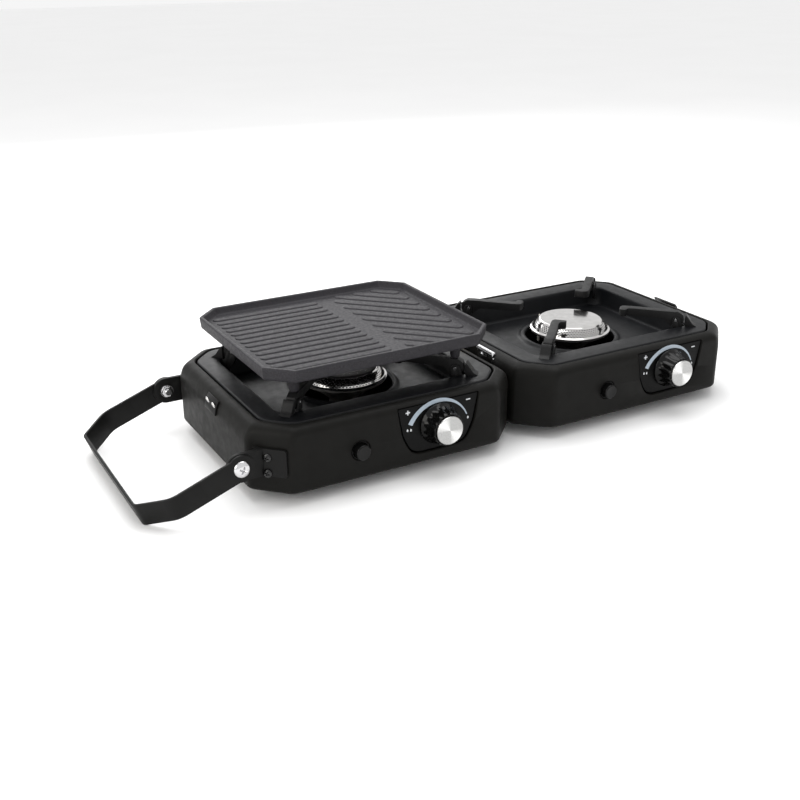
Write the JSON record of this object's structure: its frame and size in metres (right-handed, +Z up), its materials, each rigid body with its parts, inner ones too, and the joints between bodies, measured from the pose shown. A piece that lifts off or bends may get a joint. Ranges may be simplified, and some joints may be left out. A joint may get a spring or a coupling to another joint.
{
  "type": "folding camping stove",
  "caption": "Folding gas camping stove: paired burner modules joined by hinges, with a lift-off griddle, swinging carry handle, fold-up pan supports and front control knobs.",
  "frame": {"origin": "bottom centre of the bounding box, on the surface the feet stand on", "axes": "+X runs along the pair of modules from the handle end to the latch end, +Y from the controls to the back, +Z up"},
  "size_m": [0.7418, 0.3, 0.1339],
  "materials": {
    "housing": "black powder coat, finely textured, matte",
    "tray_enamel": "black enamel, satin",
    "cast_support": "black coated cast metal, matte",
    "griddle_coating": "dark warm grey non-stick coating on cast metal, speckled, matte",
    "stainless": "stainless steel, satin, finely perforated",
    "burner_alloy": "cast alloy, heat-dulled",
    "brass_fitting": "turned brass, satin",
    "ceramic": "off-white ceramic, satin",
    "control_plastic": "black plastic, glossy",
    "panel": "black plastic, satin, with pale grey printed marks",
    "knob_cap": "spun aluminium look, radially brushed, bright",
    "handle_steel": "black powder coat on steel strap, matte",
    "chrome_hardware": "bright plated steel",
    "foot_rubber": "black rubber, matte"
  },
  "bodies": {
    "left_module": {"left_shell": "housing", "left_base_plate": "housing", "left_tray": "tray_enamel", "left_burner_body": "burner_alloy", "left_burner_cap": "stainless", "left_electrode": "ceramic", "left_valve": "brass_fitting", "left_bezel": "panel", "left_igniter_body": "control_plastic", "left_support_back_right": "cast_support", "left_support_back_left": "cast_support", "left_support_front_left": "cast_support", "left_support_front_right": "cast_support", "left_foot_back_right": "foot_rubber", "left_foot_back_left": "foot_rubber", "left_foot_front_left": "foot_rubber", "left_foot_front_right": "foot_rubber", "handle_bracket_front": "handle_steel", "handle_bracket_back": "handle_steel", "pivot_bolt_front": "chrome_hardware", "pivot_bolt_back": "chrome_hardware", "hinge_leaf_left_front": "chrome_hardware", "hinge_leaf_left_back": "chrome_hardware", "hinge_pin_front": "chrome_hardware", "hinge_pin_back": "chrome_hardware", "gas_union_left": "brass_fitting", "catch_plate": "handle_steel", "gas_inlet": "brass_fitting"},
    "right_module": {"right_shell": "housing", "right_base_plate": "housing", "right_tray": "tray_enamel", "right_burner_body": "burner_alloy", "right_burner_cap": "stainless", "right_electrode": "ceramic", "right_valve": "brass_fitting", "right_bezel": "panel", "right_igniter_body": "control_plastic", "right_foot_back_right": "foot_rubber", "right_foot_back_left": "foot_rubber", "right_foot_front_left": "foot_rubber", "right_foot_front_right": "foot_rubber", "hinge_leaf_right_front": "chrome_hardware", "hinge_leaf_right_back": "chrome_hardware", "gas_union_right": "brass_fitting", "latch_base": "handle_steel"},
    "handle": {"handle": "handle_steel"},
    "griddle": {"griddle_plate": "griddle_coating"},
    "latch": {"latch_lever": "handle_steel"},
    "left_knob": {"left_knob": "control_plastic", "left_knob_cap": "knob_cap"},
    "right_knob": {"right_knob": "control_plastic", "right_knob_cap": "knob_cap"},
    "left_igniter": {"left_igniter_button": "control_plastic"},
    "right_igniter": {"right_igniter_button": "control_plastic"},
    "right_support_back_right": {"right_support_back_right": "cast_support"},
    "right_support_back_left": {"right_support_back_left": "cast_support"},
    "right_support_front_left": {"right_support_front_left": "cast_support"},
    "right_support_front_right": {"right_support_front_right": "cast_support"}
  },
  "joints": [
    {"name": "module_fold", "type": "hinge", "parent": "left_module", "child": "right_module", "pos_m": [0.05257, 0.0025, 0.085], "axis": [0, -1, 0], "range_deg": [0, 90]},
    {"name": "handle_swing", "type": "hinge", "parent": "left_module", "child": "handle", "pos_m": [-0.26963, 0.0025, 0.0473], "axis": [0, 1, 0], "range_deg": [0, 108]},
    {"name": "griddle_lift", "type": "slide", "parent": "left_module", "child": "griddle", "axis": [0, 0, 1], "range_m": [0, 0.06]},
    {"name": "latch_swing", "type": "hinge", "parent": "right_module", "child": "latch", "pos_m": [0.36787, 0.0025, 0.057], "axis": [0, 1, 0], "range_deg": [0, 110]},
    {"name": "left_knob_turn", "type": "hinge", "parent": "left_module", "child": "left_knob", "pos_m": [-0.05873, -0.128, 0.0533], "axis": [0, -1, 0], "range_deg": [0, 150]},
    {"name": "left_igniter_press", "type": "slide", "parent": "left_module", "child": "left_igniter", "axis": [0, 1, 0], "range_m": [0, 0.004], "stiffness_N_per_m": 600, "springref_m": -0.002},
    {"name": "right_knob_turn", "type": "hinge", "parent": "right_module", "child": "right_knob", "pos_m": [0.25327, -0.128, 0.0533], "axis": [0, -1, 0], "range_deg": [0, 150]},
    {"name": "right_igniter_press", "type": "slide", "parent": "right_module", "child": "right_igniter", "axis": [0, 1, 0], "range_m": [0, 0.004], "stiffness_N_per_m": 600, "springref_m": -0.002},
    {"name": "right_support_back_right_fold", "type": "hinge", "parent": "right_module", "child": "right_support_back_right", "pos_m": [0.30291, 0.08451, 0.09], "axis": [-0.6561, 0.7547, 0], "range_deg": [0, 90]},
    {"name": "right_support_back_left_fold", "type": "hinge", "parent": "right_module", "child": "right_support_back_left", "pos_m": [0.11423, 0.08451, 0.09], "axis": [-0.6561, -0.7547, 0], "range_deg": [0, 90]},
    {"name": "right_support_front_left_fold", "type": "hinge", "parent": "right_module", "child": "right_support_front_left", "pos_m": [0.11423, -0.07951, 0.09], "axis": [0.6561, -0.7547, 0], "range_deg": [0, 90]},
    {"name": "right_support_front_right_fold", "type": "hinge", "parent": "right_module", "child": "right_support_front_right", "pos_m": [0.30291, -0.07951, 0.09], "axis": [0.6561, 0.7547, 0], "range_deg": [0, 90]}
  ]
}
